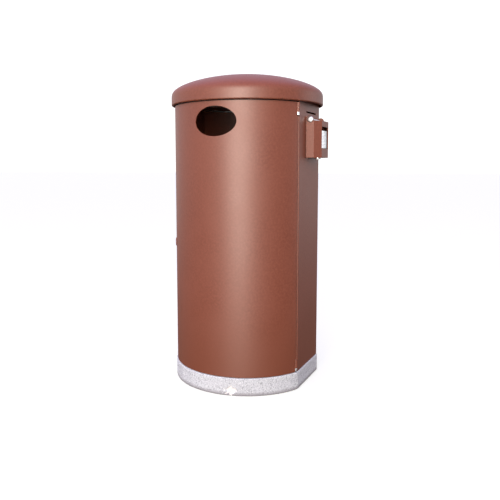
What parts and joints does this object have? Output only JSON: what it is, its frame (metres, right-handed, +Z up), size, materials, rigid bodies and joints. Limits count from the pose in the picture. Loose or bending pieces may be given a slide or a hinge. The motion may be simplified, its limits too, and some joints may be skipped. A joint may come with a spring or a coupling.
{
  "type": "litter bin with ash box",
  "caption": "Round litter bin with a domed lid, oval deposit opening in a curved hinged door, concrete slab and a tipping ash box on one flat side.",
  "frame": {"origin": "underside of the concrete slab, on the vertical axis of the round lid", "axes": "+Z up along the lid's axis, the door and its opening face -Y, the ash box is on the +X side"},
  "size_m": [0.4945, 0.48, 0.96],
  "materials": {
    "painted_steel": "satin terracotta-brown powder coat on steel sheet",
    "concrete": "light grey cast concrete with fine pits and aggregate specks",
    "stainless_steel": "brushed stainless steel",
    "zinc_plated_steel": "bright zinc plate",
    "galvanised_steel": "hot-dip galvanised with spangle",
    "black_rubber": "matte moulded rubber"
  },
  "bodies": {
    "bin": {"concrete_slab": "concrete", "base_plate": "galvanised_steel", "rear_shell": "painted_steel", "top_frame": "galvanised_steel", "lid_crossbar": "zinc_plated_steel", "crossbar_bolt_left": "zinc_plated_steel", "crossbar_bolt_right": "zinc_plated_steel", "lid_dome": "painted_steel", "lid_stud": "zinc_plated_steel", "lid_stud_nut": "zinc_plated_steel", "liner_bucket": "galvanised_steel", "hinge_body_leaf_top": "painted_steel", "hinge_body_leaf_bottom": "painted_steel", "hinge_pin_top": "stainless_steel", "hinge_pin_bottom": "stainless_steel", "door_bumper_top": "black_rubber", "door_bumper_bottom": "black_rubber", "ash_back_plate": "painted_steel", "ash_pivot_pin": "stainless_steel", "anchor_bolt_1": "zinc_plated_steel", "anchor_washer_1": "zinc_plated_steel", "ash_mount_screw_1": "zinc_plated_steel", "anchor_bolt_2": "zinc_plated_steel", "anchor_washer_2": "zinc_plated_steel", "ash_mount_screw_2": "zinc_plated_steel", "anchor_bolt_3": "zinc_plated_steel", "anchor_washer_3": "zinc_plated_steel", "ash_mount_screw_3": "zinc_plated_steel", "anchor_bolt_4": "zinc_plated_steel", "anchor_washer_4": "zinc_plated_steel", "ash_mount_screw_4": "zinc_plated_steel"},
    "door": {"door_panel": "painted_steel", "door_stiffener_top": "painted_steel", "door_stiffener_middle": "painted_steel", "door_stiffener_bottom": "painted_steel", "hinge_door_leaf_top": "painted_steel", "hinge_door_leaf_bottom": "painted_steel", "lock_housing": "painted_steel"},
    "door_lock": {"lock_plug": "stainless_steel", "lock_cam": "zinc_plated_steel", "lock_cam_nut": "zinc_plated_steel"},
    "ash_box": {"ash_housing": "painted_steel", "ash_stub_plate": "stainless_steel", "ash_tray": "galvanised_steel", "ash_lock_housing": "stainless_steel"},
    "ash_lock": {"ash_lock_plug": "stainless_steel", "ash_lock_cam": "zinc_plated_steel"},
    "handle_left": {"liner_handle_left": "zinc_plated_steel"},
    "handle_right": {"liner_handle_right": "zinc_plated_steel"}
  },
  "joints": [
    {"name": "door_hinge", "type": "hinge", "parent": "bin", "child": "door", "pos_m": [0.2065, -0.0982, 0.46], "axis": [0, 0, 1], "range_deg": [0, 110]},
    {"name": "door_lock_turn", "type": "hinge", "parent": "door", "child": "door_lock", "pos_m": [-0.188, -0.13164, 0.437], "axis": [0.8191, 0.5736, 0], "range_deg": [0, 90]},
    {"name": "ash_box_tilt", "type": "hinge", "parent": "bin", "child": "ash_box", "pos_m": [0.223, 0.016, 0.816], "axis": [0, -1, 0], "range_deg": [0, 75]},
    {"name": "ash_lock_turn", "type": "hinge", "parent": "ash_box", "child": "ash_lock", "pos_m": [0.231, 0.016, 0.7129], "axis": [0, 0, -1], "range_deg": [0, 90]},
    {"name": "handle_left_swing", "type": "hinge", "parent": "bin", "child": "handle_left", "pos_m": [-0.164, 0, 0.7], "axis": [0, 1, 0], "range_deg": [0, 150]},
    {"name": "handle_right_swing", "type": "hinge", "parent": "bin", "child": "handle_right", "pos_m": [0.164, 0, 0.7], "axis": [0, -1, 0], "range_deg": [0, 150]}
  ]
}
